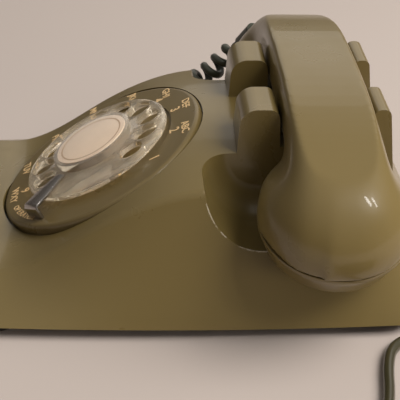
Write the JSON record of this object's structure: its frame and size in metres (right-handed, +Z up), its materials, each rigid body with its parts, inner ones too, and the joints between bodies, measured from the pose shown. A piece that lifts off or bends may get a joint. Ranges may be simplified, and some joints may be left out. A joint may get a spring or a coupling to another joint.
{
  "type": "corded landline phone",
  "caption": "Desk telephone with a rotary dial, a lift-off handset across four cradle ears, a hook switch, a bell ringer, a curly handset cord and a line cord.",
  "frame": {"origin": "on the table under the middle of the telephone, its free cords left out", "axes": "+Z up, the user in front at -Y, the user's right at +X"},
  "size_m": [0.4537, 0.266, 0.094],
  "materials": {
    "shell": "moss green moulded plastic",
    "plate": "darker moss green plastic",
    "clear": "clear acrylic",
    "card": "cream card",
    "steel": "bright steel",
    "pan": "dark painted sheet steel",
    "works": "plated sheet steel",
    "brass": "brass",
    "board": "black phenolic",
    "winding": "taped wire winding",
    "feet": "black rubber",
    "cord": "glossy dark olive sheath",
    "curly": "dark grey-green sheath",
    "tie": "black strap",
    "plug": "tinted clear plastic"
  },
  "bodies": {
    "root": {"housing": "shell", "base_pan": "pan", "feet": "feet", "pan_screws": "steel", "number_plate": "plate", "finger_stop": "steel", "dial_back": "works", "dial_bracket": "works", "hook_frame": "works", "contact_stack": "board", "gong_front": "brass", "gong_rear": "brass", "ringer_frame": "works", "ringer_coil": "winding", "network_block": "board", "base_cord_relief": "cord", "line_cord_relief": "cord", "handset_cord": "curly", "line_cord": "cord", "line_cord_coil": "cord", "line_cord_tail": "cord", "cord_tie": "tie", "line_plug": "plug"},
    "handset": {"handset_body": "shell", "receiver_cap": "shell", "transmitter_cap": "shell", "receiver_unit": "works", "transmitter_unit": "works", "handset_cord_relief": "cord"},
    "dial": {"finger_wheel": "clear", "number_card": "card", "card_retainer": "clear", "dial_shaft": "brass", "main_gear": "brass"},
    "governor": {"governor": "brass"},
    "plunger_left": {"plunger_left": "clear"},
    "plunger_right": {"plunger_right": "clear"},
    "hook_lever": {"hook_lever": "works"},
    "clapper": {"clapper": "works"},
    "volume_wheel": {"volume_wheel": "board"}
  },
  "joints": [
    {"name": "handset_lift", "type": "slide", "parent": "root", "child": "handset", "axis": [0, 0, 1], "range_m": [0, 0.08], "deforming": ["handset_cord"]},
    {"name": "dial_turn", "type": "hinge", "parent": "root", "child": "dial", "pos_m": [0, -0.041, 0.044], "axis": [0, -0.4695, 0.8829], "range_deg": [-325, 0]},
    {"name": "governor_spin", "type": "hinge", "parent": "root", "child": "governor", "pos_m": [0.0304, -0.041, 0.044], "axis": [0, -0.4695, 0.8829], "range_deg": [0, 1300]},
    {"name": "plunger_left_slide", "type": "slide", "parent": "root", "child": "plunger_left", "axis": [0, 0, 1], "range_m": [0, 0.006]},
    {"name": "plunger_right_slide", "type": "slide", "parent": "root", "child": "plunger_right", "axis": [0, 0, 1], "range_m": [0, 0.006]},
    {"name": "hook_lever_turn", "type": "hinge", "parent": "root", "child": "hook_lever", "pos_m": [0, 0.0845, 0.05018], "axis": [-1, 0, 0], "range_deg": [0, 13]},
    {"name": "clapper_swing", "type": "hinge", "parent": "root", "child": "clapper", "pos_m": [-0.03, 0.03, 0.01725], "axis": [0, 0, 1], "range_deg": [-9, 9]},
    {"name": "volume_turn", "type": "hinge", "parent": "root", "child": "volume_wheel", "pos_m": [-0.016, 0.061, 0.015], "axis": [1, 0, 0], "range_deg": [-60, 60]}
  ],
  "couplings": [
    {"joint": "governor_spin", "follows": "dial_turn", "ratio": -4},
    {"joint": "plunger_left_slide", "follows": "handset_lift", "ratio": 0.075},
    {"joint": "plunger_right_slide", "follows": "handset_lift", "ratio": 0.075},
    {"joint": "hook_lever_turn", "follows": "handset_lift", "rad_per_m": 2.8362}
  ]
}
